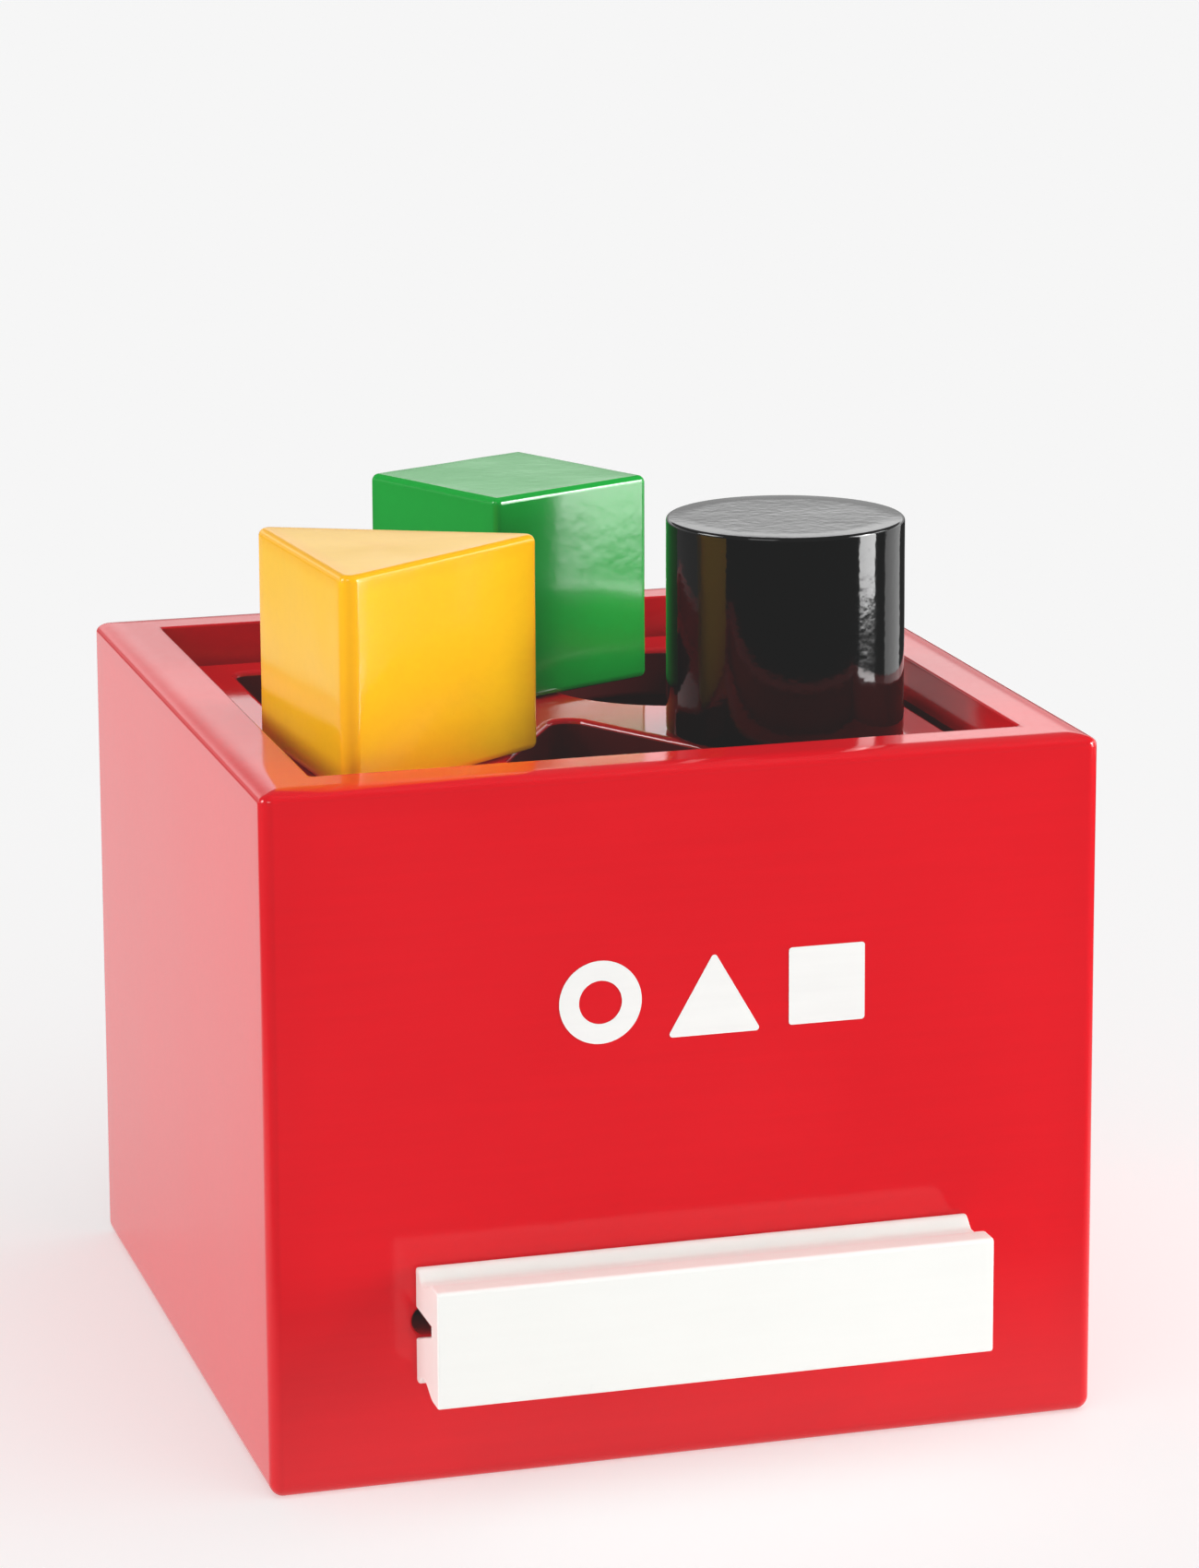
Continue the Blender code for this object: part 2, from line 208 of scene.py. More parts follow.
def subtract(obj, cutter):
    """Cut one object out of another, and delete the cutter."""
    boolean = obj.modifiers.new("cut", "BOOLEAN")
    boolean.operation = "DIFFERENCE"
    boolean.object = cutter
    boolean.solver = "EXACT"
    bake_modifiers(obj)
    bpy.data.objects.remove(cutter, do_unlink=True)
    return obj


def square_corners(centre, side):
    half = side / 2
    turns = ((-1, -1), (1, -1), (1, 1), (-1, 1))
    return [Vector((centre[0] + half * x, centre[1] + half * y)) for x, y in turns]


def triangle_corners(apex, side):
    """An equilateral triangle whose apex is its furthest point in +y."""
    height = side * math.sqrt(3) / 2
    x, y = apex
    return [Vector((x - side / 2, y - height)), Vector((x + side / 2, y - height)), Vector(apex)]


def polygon_corners(centre, radius, count, turn):
    """Corners of a regular polygon, anticlockwise, the first one at the turn from +x."""
    steps = [turn + 2 * math.pi * i / count for i in range(count)]
    return [Vector(centre) + radius * Vector((math.cos(a), math.sin(a))) for a in steps]


def outline(corners, radius, arc_steps=8, span_steps=1):
    """Go round a polygon with rounded corners, as (point on the inset polygon, outward direction)."""
    count = len(corners)
    sides = [(corners[(i + 1) % count] - corners[i]).normalized() for i in range(count)]
    normals = [Vector((side.y, -side.x)) for side in sides]
    cores = []
    for i, corner in enumerate(corners):
        both = normals[i - 1] + normals[i]
        cores.append(corner - both * radius / (1 + normals[i - 1].dot(normals[i])))
    points = []
    for i, core in enumerate(cores):
        start = math.atan2(normals[i - 1].y, normals[i - 1].x)
        turn = (math.atan2(normals[i].y, normals[i].x) - start) % (2 * math.pi)
        for k in range(arc_steps + 1):
            angle = start + turn * k / arc_steps
            points.append((core, Vector((math.cos(angle), math.sin(angle)))))
        after = cores[(i + 1) % count]
        for k in range(1, span_steps):
            points.append((core.lerp(after, k / span_steps), normals[i]))
    return points


def circle_outline(centre, steps):
    """A circle as an outline with every point's core at the centre."""
    angles = [2 * math.pi * i / steps for i in range(steps)]
    return [(Vector(centre), Vector((math.cos(a), math.sin(a)))) for a in angles]


def join_loops(bm, first, second):
    """Close the gap between two equal rings with quads."""
    count = len(first)
    for i in range(count):
        j = (i + 1) % count
        bm.faces.new((first[i], first[j], second[j], second[i]))


def ring_loft(bm, rings):
    """Join equal rings of points by quads and return the rings of vertices."""
    loops = [[bm.verts.new(point) for point in ring] for ring in rings]
    for below, above in zip(loops, loops[1:]):
        join_loops(bm, below, above)
    return loops


def cap_to_centre(bm, loop, shares=(0.8, 0.55, 0.28)):
    """Close a ring with smaller and smaller rings round its middle."""
    middle = sum((vert.co for vert in loop), Vector()) / len(loop)
    count = len(loop)
    outer = loop
    for share in shares:
        inner = [bm.verts.new(middle.lerp(vert.co, share)) for vert in loop]
        join_loops(bm, outer, inner)
        outer = inner
    hub = bm.verts.new(middle)
    for i in range(count):
        bm.faces.new((outer[i], outer[(i + 1) % count], hub))


def quarter(radius, steps):
    """(inset, height) pairs of a quarter round, from the flat face to the side."""
    angles = [math.pi / 2 * k / steps for k in range(steps + 1)]
    return [(radius * (1 - math.sin(a)), radius * (1 - math.cos(a))) for a in angles]


def wobble(bm, depth, size, seed):
    """Sink each point along its normal by smooth noise, as sanding by hand leaves a surface."""
    bm.normal_update()
    shift = Vector((seed, 2.3 * seed, -1.7 * seed))
    moves = [(vert, 0.5 + 0.5 * noise.noise(vert.co / size + shift)) for vert in bm.verts]
    for vert, amount in moves:
        vert.co -= vert.normal * (depth * min(1.0, max(0.0, amount)))


def soft_block(name, points, radius, edge, low, high, uneven):
    """A turned or sawn block: an outline pulled up, with a rounded edge round both ends."""
    edge_steps = 7
    side_steps = 16
    lower = [(inset, low + rise) for inset, rise in quarter(edge, edge_steps)]
    upper = [(inset, high - rise) for inset, rise in reversed(quarter(edge, edge_steps))]
    straight = high - low - 2 * edge
    sides = [(0.0, low + edge + straight * k / side_steps) for k in range(1, side_steps)]
    rings = []
    for inset, z in lower + sides + upper:
        ring = [core + direction * (radius - inset) for core, direction in points]
        rings.append([(p.x, p.y, z) for p in ring])
    bm = bmesh.new()
    loops = ring_loft(bm, rings)
    cap_to_centre(bm, loops[0])
    cap_to_centre(bm, loops[-1])
    bmesh.ops.remove_doubles(bm, verts=bm.verts, dist=1e-6)
    bmesh.ops.recalc_face_normals(bm, faces=bm.faces)
    wobble(bm, uneven, BLOCK_WAVES, radius * 1000)
    return object_from(name, bm)


def plate_with_holes(name, outlines, thickness, edge):
    """A flat plate from closed outlines, the first one outside, with every edge rounded."""
    curve = bpy.data.curves.new(name, "CURVE")
    curve.dimensions = "2D"
    curve.fill_mode = "BOTH"
    curve.extrude = thickness / 2 - edge
    curve.bevel_depth = edge
    curve.bevel_resolution = 5
    curve.offset = -edge
    for points in outlines:
        spline = curve.splines.new("POLY")
        spline.points.add(len(points) - 1)
        for target, point in zip(spline.points, points):
            target.co = (point[0], point[1], 0.0, 1.0)
        spline.use_cyclic_u = True
    source = add_object(name + "_outline", curve)
    graph = bpy.context.evaluated_depsgraph_get()
    graph.update()
    mesh = bpy.data.meshes.new_from_object(source.evaluated_get(graph))
    bpy.data.objects.remove(source, do_unlink=True)
    bm = bmesh.new()
    bm.from_mesh(mesh)
    bmesh.ops.remove_doubles(bm, verts=bm.verts, dist=1e-6)
    return object_from(name, bm)


def mark_edges(obj, sharpest=500.0):
    """Store how strongly the surface turns at each point, 0 on flats and 1 on tight edges."""
    bm = bmesh.new()
    bm.from_mesh(obj.data)
    bm.normal_update()
    turns = []
    for vert in bm.verts:
        most = 0.0
        for line in vert.link_edges:
            if len(line.link_faces) == 2 and line.is_convex:
                width = min(face.calc_area() for face in line.link_faces) / line.calc_length()
                most = max(most, line.calc_face_angle(0.0) / max(width, 1e-5))
        turns.append(min(1.0, most / sharpest))
    bm.free()
    attribute = obj.data.attributes.new("edge_turn", "FLOAT", "POINT")
    attribute.data.foreach_set("value", turns)
    return obj


# ---------------------------------------------------------------- materials

def shader_graph(name):
    """A new material with its node tree and its shader."""
    material = bpy.data.materials.new(name)
    material.use_nodes = True
    tree = material.node_tree
    return material, tree, tree.nodes["Principled BSDF"]


def stretched(tree, scale):
    """Object coordinates, stretched so that noise on them runs along the grain."""
    coordinates = tree.nodes.new("ShaderNodeTexCoord")
    mapping = tree.nodes.new("ShaderNodeMapping")
    mapping.inputs["Scale"].default_value = scale
    tree.links.new(coordinates.outputs["Object"], mapping.inputs["Vector"])
    return mapping.outputs["Vector"]


def noise_at(tree, vector, scale, detail=2.0, rough=0.5):
    """Noise on the given coordinates, mostly between 0.3 and 0.7."""
    texture = tree.nodes.new("ShaderNodeTexNoise")
    texture.inputs["Scale"].default_value = scale
    texture.inputs["Detail"].default_value = detail
    texture.inputs["Roughness"].default_value = rough
    tree.links.new(vector, texture.inputs["Vector"])
    return texture.outputs["Fac"]


def remap(tree, value, low, high, from_low=0.3, from_high=0.7):
    """Stretch a value's range to another one, and hold it there at both ends."""
    node = tree.nodes.new("ShaderNodeMapRange")
    node.inputs["From Min"].default_value = from_low
    node.inputs["From Max"].default_value = from_high
    node.inputs["To Min"].default_value = low
    node.inputs["To Max"].default_value = high
    tree.links.new(value, node.inputs["Value"])
    return node.outputs["Result"]


def math_node(tree, operation, first, second):
    """One Math node; each input is a number or a socket."""
    node = tree.nodes.new("ShaderNodeMath")
    node.operation = operation
    for socket, value in zip(node.inputs, (first, second)):
        if isinstance(value, (int, float)):
            socket.default_value = value
        else:
            tree.links.new(value, socket)
    return node.outputs["Value"]


def blend_colours(tree, factor, first, second):
    """Mix two colours by a factor; each is three numbers or a socket."""
    node = tree.nodes.new("ShaderNodeMix")
    node.data_type = "RGBA"
    tree.links.new(factor, node.inputs["Factor"])
    for socket, colour in ((node.inputs["A"], first), (node.inputs["B"], second)):
        if isinstance(colour, tuple):
            socket.default_value = (*colour, 1.0)
        else:
            tree.links.new(colour, socket)
    return node.outputs["Result"]


def bump(tree, height, distance, normal=None):
    """Unevenness too fine for the mesh, on top of any earlier one."""
    node = tree.nodes.new("ShaderNodeBump")
    node.inputs["Distance"].default_value = distance
    tree.links.new(height, node.inputs["Height"])
    if normal is not None:
        tree.links.new(normal, node.inputs["Normal"])
    return node.outputs["Normal"]


def edge_amount(tree):
    """What mark_edges stored, and 0 on an object without it."""
    attribute = tree.nodes.new("ShaderNodeAttribute")
    attribute.attribute_name = "edge_turn"
    return attribute.outputs["Fac"]


def scaled_colour(colour, share):
    """A colour made brighter or darker."""
    return tuple(min(1.0, channel * share) for channel in colour)


def lacquer(name, colour, roughness, specular, peel=0.000012, peel_size=0.0024,
            grain_axis="X", grain=0.000004, edge_colour=None):
    """Sprayed gloss lacquer on beech: uneven tone, orange peel, and the grain just telling through."""
    material, tree, shader = shader_graph(name)
    long_way = 9.0
    across = 150.0
    scale = [across, across, across]
    scale["XYZ".index(grain_axis)] = long_way
    along = stretched(tree, scale)
    plain = stretched(tree, (1.0, 1.0, 1.0))
    cloud = noise_at(tree, plain, 24.0, 3.0)
    lines = noise_at(tree, along, 3.0, 3.0, 0.6)
    tone = math_node(tree, "ADD", math_node(tree, "MULTIPLY", cloud, 0.6),
                     math_node(tree, "MULTIPLY", lines, 0.4))
    base = blend_colours(tree, remap(tree, tone, 0.0, 1.0), scaled_colour(colour, 0.955),
                         scaled_colour(colour, 1.035))
    edge = edge_amount(tree)
    base = blend_colours(tree, math_node(tree, "MULTIPLY", edge, 0.6), base,
                         edge_colour or scaled_colour(colour, 0.86))
    tree.links.new(base, shader.inputs["Base Color"])
    speck = noise_at(tree, plain, 900.0, 2.0)
    rough = remap(tree, math_node(tree, "ADD", math_node(tree, "MULTIPLY", speck, 0.5),
                                  math_node(tree, "MULTIPLY", cloud, 0.5)),
                  roughness - 0.03, roughness + 0.04)
    tree.links.new(rough, shader.inputs["Roughness"])
    shader.inputs["Specular IOR Level"].default_value = specular
    skin = bump(tree, noise_at(tree, plain, 1.0 / peel_size, 1.5), peel)
    skin = bump(tree, lines, grain, skin)
    tree.links.new(skin, shader.inputs["Normal"])
    return material


def beech(name, grain_axis="X"):
    """Oiled beech: pale brown, fine long grain and the short dark flecks of its rays."""
    material, tree, shader = shader_graph(name)
    scale = [160.0, 160.0, 160.0]
    scale["XYZ".index(grain_axis)] = 8.0
    along = stretched(tree, scale)
    fleck_scale = [900.0, 900.0, 900.0]
    fleck_scale["XYZ".index(grain_axis)] = 170.0
    lines = noise_at(tree, along, 2.4, 4.0, 0.6)
    flecks = noise_at(tree, stretched(tree, fleck_scale), 1.0, 1.0)
    base = blend_colours(tree, remap(tree, lines, 0.0, 1.0), (0.50, 0.31, 0.165),
                         (0.68, 0.47, 0.28))
    base = blend_colours(tree, remap(tree, flecks, 0.0, 0.55, 0.60, 0.72), base,
                         (0.30, 0.16, 0.07))
    tree.links.new(base, shader.inputs["Base Color"])
    tree.links.new(remap(tree, lines, 0.5, 0.66), shader.inputs["Roughness"])
    tree.links.new(bump(tree, lines, 0.00003), shader.inputs["Normal"])
    return material


RED = (0.735, 0.0012, 0.009)
red_gloss = lacquer("red_gloss", RED, 0.12, 0.38, peel=0.000008, peel_size=0.003)
red_lid = lacquer("red_lid_gloss", RED, 0.07, 0.42, peel=0.000008, peel_size=0.003)
red_floor = lacquer("red_floor_gloss", RED, 0.16, 0.36)
# A fifth of the red, for faces inside the box, in the lid's holes and the parts under the lid: painted
# shade.
red_shadow = lacquer("red_painted_shade", scaled_colour(RED, 0.2), 0.35, 0.22)
white_satin = lacquer("white_satin", (0.90, 0.945, 0.905), 0.3, 0.3, edge_colour=(0.95, 0.94, 0.91))
green_gloss = lacquer("green_gloss", (0.004, 0.41, 0.042), 0.12, 0.34, peel=0.00002)
yellow_gloss = lacquer("yellow_gloss", (0.98, 0.56, 0.002), 0.13, 0.28,
                       edge_colour=(0.96, 0.42, 0.002))
black_gloss = lacquer("black_gloss", (0.0008, 0.0012, 0.0012), 0.07, 0.44, peel=0.000023,
                      peel_size=0.0019, grain=0.0000008)
print_white = lacquer("print_white", (0.90, 0.90, 0.88), 0.35, 0.3)
beech_wood = beech("beech", "Y")


def dress(obj, material, body=None, nodes=()):
    """Give a piece its material and body, and hide the CAD nodes that it stands for."""
    obj.data.materials.clear()
    obj.data.materials.append(material)
    if body:
        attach(obj, body)
    if nodes:
        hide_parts(*nodes)
    return obj


def dress_inside(obj, material, inside):
    """Give the faces that a test picks a second material."""
    obj.data.materials.append(material)
    for face in obj.data.polygons:
        if inside(face):
            face.material_index = 1


# ---------------------------------------------------------------- pieces

def rounded_square(centre, side, radius, z):
    """One ring of the box: a square with round corners, many points along each side."""
    points = outline(square_corners(centre, side), radius, 8, 20)
    flat = [core + direction * radius for core, direction in points]
    return [(p.x, p.y, z) for p in flat]


def rim_fall(steps):
    """(inset, drop) pairs over the top edge, from the side to the flat top."""
    inset, drop = RIM_FALL
    power = 2 / RIM_POWER
    angles = [math.pi / 2 * k / steps for k in range(steps + 1)]
    return [(inset * (1 - max(0.0, math.cos(a)) ** power), drop * (1 - math.sin(a) ** power))
            for a in angles]


def spaced(first, last, steps):
    """Values between two ends, without the ends."""
    return [first + (last - first) * k / steps for k in range(1, steps)]


def box_section(low_z, high_z, wall):
    """Section of a wall as (inset, z): up the outside, over the rim and down the inside."""
    foot = BOX_FOOT_RADIUS
    edge = INNER_EDGE_RADIUS
    inset, drop = RIM_FALL
    section = [(i, low_z + rise) for i, rise in quarter(foot, 7)]
    section += [(0.0, z) for z in spaced(low_z + foot, high_z - drop, 30)]
    section += [(i, high_z - fall) for i, fall in rim_fall(16)]
    section += [(i, high_z) for i in spaced(inset, wall - edge, 6)]
    section += [(wall - i, high_z - fall) for i, fall in quarter(edge, 4)]
    section += [(wall, z) for z in spaced(high_z - edge, low_z + edge, 16)]
    section += [(wall - i, low_z + rise) for i, rise in reversed(quarter(edge, 4))]
    section += [(i, low_z) for i in spaced(wall - edge, foot, 4)]
    return section


def slot_cutter(low_y, high_y):
    """The slot of the pull-out floor, with round ends, from the plate that slides in it."""
    plate_low, plate_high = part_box("floor_plate")
    radius = (plate_high.z - plate_low.z) / 2 + GAP
    z = (plate_low.z + plate_high.z) / 2
    reach = SLOT_LENGTH / 2 - radius
    angles = [math.pi * (k / 14 - 0.5) for k in range(15)]
    right = [(reach + radius * math.cos(a), z + radius * math.sin(a)) for a in angles]
    left = [(-x, 2 * z - height) for x, height in right]
    bm = bmesh.new()
    loops = ring_loft(bm, [[(x, y, height) for x, height in right + left] for y in (low_y, high_y)])
    bm.faces.new(loops[0])
    bm.faces.new(loops[-1])
    return object_from("slot_cutter", bm)


def painted_box():
    """The four glued walls under one skin of lacquer, with the slot of the pull-out floor and painted
    shade inside.
    """
    low, high = span(*WALLS)
    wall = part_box("front_wall")[1].y - low.y
    side = high.x - low.x
    centre = ((low.x + high.x) / 2, (low.y + high.y) / 2)
    rings = []
    for inset, z in box_section(low.z, high.z, wall):
        radius = max(BOX_CORNER_RADIUS - inset, 2 * INNER_EDGE_RADIUS)
        rings.append(rounded_square(centre, side - 2 * inset, radius, z))
    bm = bmesh.new()
    loops = ring_loft(bm, rings)
    join_loops(bm, loops[-1], loops[0])
    bmesh.ops.remove_doubles(bm, verts=bm.verts, dist=1e-6)
    bmesh.ops.recalc_face_normals(bm, faces=bm.faces)
    wobble(bm, BOX_UNEVEN, BOX_WAVES, 4.0)
    shell = object_from("painted_box", bm)
    subtract(shell, slot_cutter(low.y - wall, low.y + 1.5 * wall))
    round_edges(shell, INNER_EDGE_RADIUS, 3, 50.0)
    mark_edges(shell)
    shell.data.shade_smooth()
    flatten_shading(shell)
    dress(shell, red_gloss, "box", WALLS)
    # Faces inside the walls and below the lid's top take the darker red: painted shade.
    half = side / 2 - wall + INNER_EDGE_RADIUS / 2
    lid_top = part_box("lid")[1].z

    def inside_painted_shade(face):
        x, y, z = face.center
        return max(abs(x - centre[0]), abs(y - centre[1])) < half and z < lid_top

    dress_inside(shell, red_shadow, inside_painted_shade)


def lid():
    """The loose board with a square, a round and a triangular hole."""
    low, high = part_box("lid")
    middle = (low + high) / 2
    side = high.x - low.x

    def rounded(corners, radius, steps):
        return [core + direction * radius for core, direction in outline(corners, radius, steps)]

    circle = circle_outline(ROUND_HOLE_CENTRE, 120)
    outlines = [
        rounded(square_corners((0.0, 0.0), side), LID_CORNER_RADIUS, 8),
        rounded(square_corners(SQUARE_HOLE_CENTRE, SQUARE_HOLE_SIDE), SQUARE_HOLE_CORNER, 10),
        rounded(triangle_corners(TRIANGLE_HOLE_APEX, TRIANGLE_HOLE_SIDE), TRIANGLE_HOLE_CORNER, 14),
        [core + direction * ROUND_HOLE_RADIUS for core, direction in circle],
    ]
    plate = plate_with_holes("lid_board", outlines, high.z - low.z, LID_EDGE_RADIUS)
    plate.data.transform(Matrix.Translation(middle))
    mark_edges(plate)
    flatten_shading(plate)
    dress(plate, red_lid, "lid", ["lid"])
    # The lid's hole walls, sides and underside take the darker red: painted shade.
    dress_inside(plate, red_shadow, lambda face: face.normal.z < 0.3)


def middle_of(node):
    """Middle of a CAD node's box."""
    low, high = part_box(node)
    return (low + high) / 2


def cube():
    """The green block, turned on the lid."""
    low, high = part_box("cube_block")
    centre = middle_of("cube_block")
    corners = polygon_corners(
        (centre.x, centre.y), CUBE_SIDE / math.sqrt(2), 4, CUBE_TURN + math.pi / 4)
    points = outline(corners, BLOCK_EDGE_RADIUS, 8, 14)
    block = soft_block("green_cube", points, BLOCK_EDGE_RADIUS, BLOCK_EDGE_RADIUS,
                       low.z, high.z, BLOCK_UNEVEN)
    mark_edges(block)
    flatten_shading(block)
    dress(block, green_gloss, "cube", ["cube_block"])


def prism():
    """The yellow block with three equal sides."""
    low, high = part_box("prism_block")
    round_off = PRISM_EDGE_RADIUS
    # The box of the rounded prism gives its middle: one corner points along its turn
    reach = PRISM_SIDE / math.sqrt(3)
    trial = outline(polygon_corners((0.0, 0.0), reach, 3, PRISM_TURN), round_off, 24)
    shape = [core + direction * round_off for core, direction in trial]
    x = (low.x + high.x) / 2 - (min(p.x for p in shape) + max(p.x for p in shape)) / 2
    y = (low.y + high.y) / 2 - (min(p.y for p in shape) + max(p.y for p in shape)) / 2
    points = outline(polygon_corners((x, y), reach, 3, PRISM_TURN), round_off, 9, 18)
    block = soft_block("yellow_prism", points, round_off, BLOCK_EDGE_RADIUS,
                       low.z, high.z, BLOCK_UNEVEN)
    mark_edges(block)
    flatten_shading(block)
    dress(block, yellow_gloss, "prism", ["prism_block"])


def cylinder():
    """The black round block."""
    low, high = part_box("cylinder_block")
    centre = middle_of("cylinder_block")
    radius = (high.x - low.x) / 2
    points = circle_outline((centre.x, centre.y), 120)
    block = soft_block("black_cylinder", points, radius, CYLINDER_EDGE_RADIUS,
                       low.z, high.z, CYLINDER_UNEVEN)
    mark_edges(block)
    dress(block, black_gloss, "cylinder", ["cylinder_block"])


def cove(depth):
    """How deep the finger cove is, from 0 to 1, at a distance from the bar's back."""

    def ease(share):
        share = min(1.0, max(0.0, share))
        return share * share * (3 - 2 * share)

    fall = ease((depth - BAR_COVE_START) / (BAR_COVE_BED[0] - BAR_COVE_START))
    rise = ease((depth - BAR_COVE_BED[1]) / (BAR_COVE_END - BAR_COVE_BED[1]))
    return fall - rise


def bar_section(thick, tall, groove_low, groove_high, choke):
    """The bar's section, anticlockwise: distance from its back, height from its middle."""
    half = tall / 2
    radius = BAR_EDGE_RADIUS
    lip = BAR_LIP_RADIUS
    steps = 40
    arc_steps = 5

    def arc(centre, size, start, end):
        angles = [math.radians(start + (end - start) * k / arc_steps) for k in range(arc_steps + 1)]
        return [(centre[0] + size * math.cos(a), centre[1] + size * math.sin(a)) for a in angles]

    run = thick - 2 * radius
    depths = [radius + run * k / steps for k in range(1, steps)]
    under = [(depth, -half + BAR_COVE_DEPTH * cove(depth)) for depth in depths]
    over = [(depth, -height) for depth, height in reversed(under)]
    section = arc((radius, -half + radius), radius, 180, 270)
    section += under
    section += arc((thick - radius, -half + radius), radius, 270, 360)
    section += arc((thick - radius, half - radius), radius, 0, 90)
    section += over
    section += arc((radius, half - radius), radius, 90, 180)
    section += arc((lip, groove_high + lip), lip, 180, 270)
    section += [(BAR_GROOVE_DEPTH, groove_high), (BAR_GROOVE_DEPTH, groove_low + choke)]
    section += arc((lip, groove_low - lip), lip, 90, 180)
    return [Vector(p) for p in section]


def inset_section(section, inset):
    """Move every side of a closed section inwards."""
    moved = []
    count = len(section)
    for i, point in enumerate(section):
        into = (point - section[i - 1]).normalized()
        out = (section[(i + 1) % count] - point).normalized()
        before = Vector((into.y, -into.x))
        after = Vector((out.y, -out.x))
        moved.append(point - (before + after) * inset / (1 + before.dot(after)))
    return moved


def grip_bar():
    """The white bar: coved for the fingers, grooved for the plate, soft at both ends."""
    low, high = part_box("pull_bar")
    plate_low, plate_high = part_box("floor_plate")
    middle_z = (low.z + high.z) / 2
    grooved = (high.y - low.y, high.z - low.z,
               plate_low.z - GAP - middle_z, plate_high.z + GAP - middle_z)
    ends = quarter(BAR_END_RADIUS, 5)
    stations = [(inset, low.x + rise) for inset, rise in ends]
    choked_to = plate_low.x - GAP
    stations += [(0.0, x) for x in (choked_to - GAP, choked_to)]
    stations += [(0.0, x) for x in spaced(choked_to, high.x - BAR_END_RADIUS, 60)]
    stations += [(inset, high.x - rise) for inset, rise in reversed(ends)]
    rings = []
    for inset, x in stations:
        choke = BAR_CHOKE if x < choked_to else 0.0
        ring = inset_section(bar_section(*grooved, choke), inset)
        rings.append([(x, high.y - p.x, middle_z + p.y) for p in ring])
    bm = bmesh.new()
    loops = ring_loft(bm, rings)
    bm.faces.new(loops[0])
    bm.faces.new(loops[-1])
    bmesh.ops.recalc_face_normals(bm, faces=bm.faces)
    wobble(bm, BAR_UNEVEN, BAR_WAVES, 3.0)
    bar = object_from("grip_bar", bm)
    bar.data.set_sharp_from_angle(angle=math.radians(50))
    mark_edges(bar)
    flatten_shading(bar)
    dress(bar, white_satin, "slide_floor", ["pull_bar"])


def printed_figures():
    """A ring, a triangle and a square in thin white print on the front wall."""
    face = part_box("front_wall")[0].y
    x, z = PRINT_CENTRE
    half = PRINT_HEIGHT / 2
    ring = [core + direction * half for core, direction in circle_outline((0, 0), 72)]
    hole = [core + direction * half * RING_HOLE for core, direction in circle_outline((0, 0), 72)]
    side = PRINT_HEIGHT * 2 / math.sqrt(3)

    def rounded(corners):
        points = outline(corners, PRINT_CORNER, 5)
        return [core + direction * PRINT_CORNER for core, direction in points]

    figures = {
        "print_ring": [ring, hole],
        "print_triangle": [rounded(triangle_corners((0.0, half), side))],
        "print_square": [rounded(square_corners((0.0, 0.0), PRINT_HEIGHT * SQUARE_SHARE))],
    }
    upright = Matrix.Rotation(math.pi / 2, 4, "X")
    for k, (name, outlines) in enumerate(figures.items()):
        figure = plate_with_holes(name, outlines, PRINT_THICKNESS, PRINT_THICKNESS / 4)
        place = Matrix.Translation((x + (k - 1) * PRINT_PITCH, face - PRINT_THICKNESS / 2, z))
        figure.data.transform(place @ upright)
        figure.data.shade_flat()
        dress(figure, print_white, "box")


def carried_over():
    """CAD nodes whose shape is right: they get their material and a softened edge."""
    for name, node in frame["nodes"].items():
        if name.startswith("dowel"):
            dress(node, beech_wood)
        elif name in ("floor_plate", "stop_batten"):
            dress(node, red_floor)
        # The cleats and runners inside the box take the darker red: painted shade.
        elif name.startswith(("lid_cleat", "floor_runner")):
            dress(node, red_shadow)
        else:
            continue
        soften = node.modifiers.new("soft_edges", "BEVEL")
        soften.width = 0.0004
        soften.segments = 2
        soften.limit_method = "ANGLE"
        soften.angle_limit = math.radians(50)


painted_box()
lid()
cube()
prism()
cylinder()
grip_bar()
printed_figures()
carried_over()


# ---------------------------------------------------------------- studio

def above(tree, value, start, end):
    """0 before the start, 1 after the end and an even rise between."""
    return remap(tree, value, 0.0, 1.0, start, end)


def largest(tree, *values):
    """The largest of several sockets."""
    result = values[0]
    for value in values[1:]:
        result = math_node(tree, "MAXIMUM", result, value)
    return result


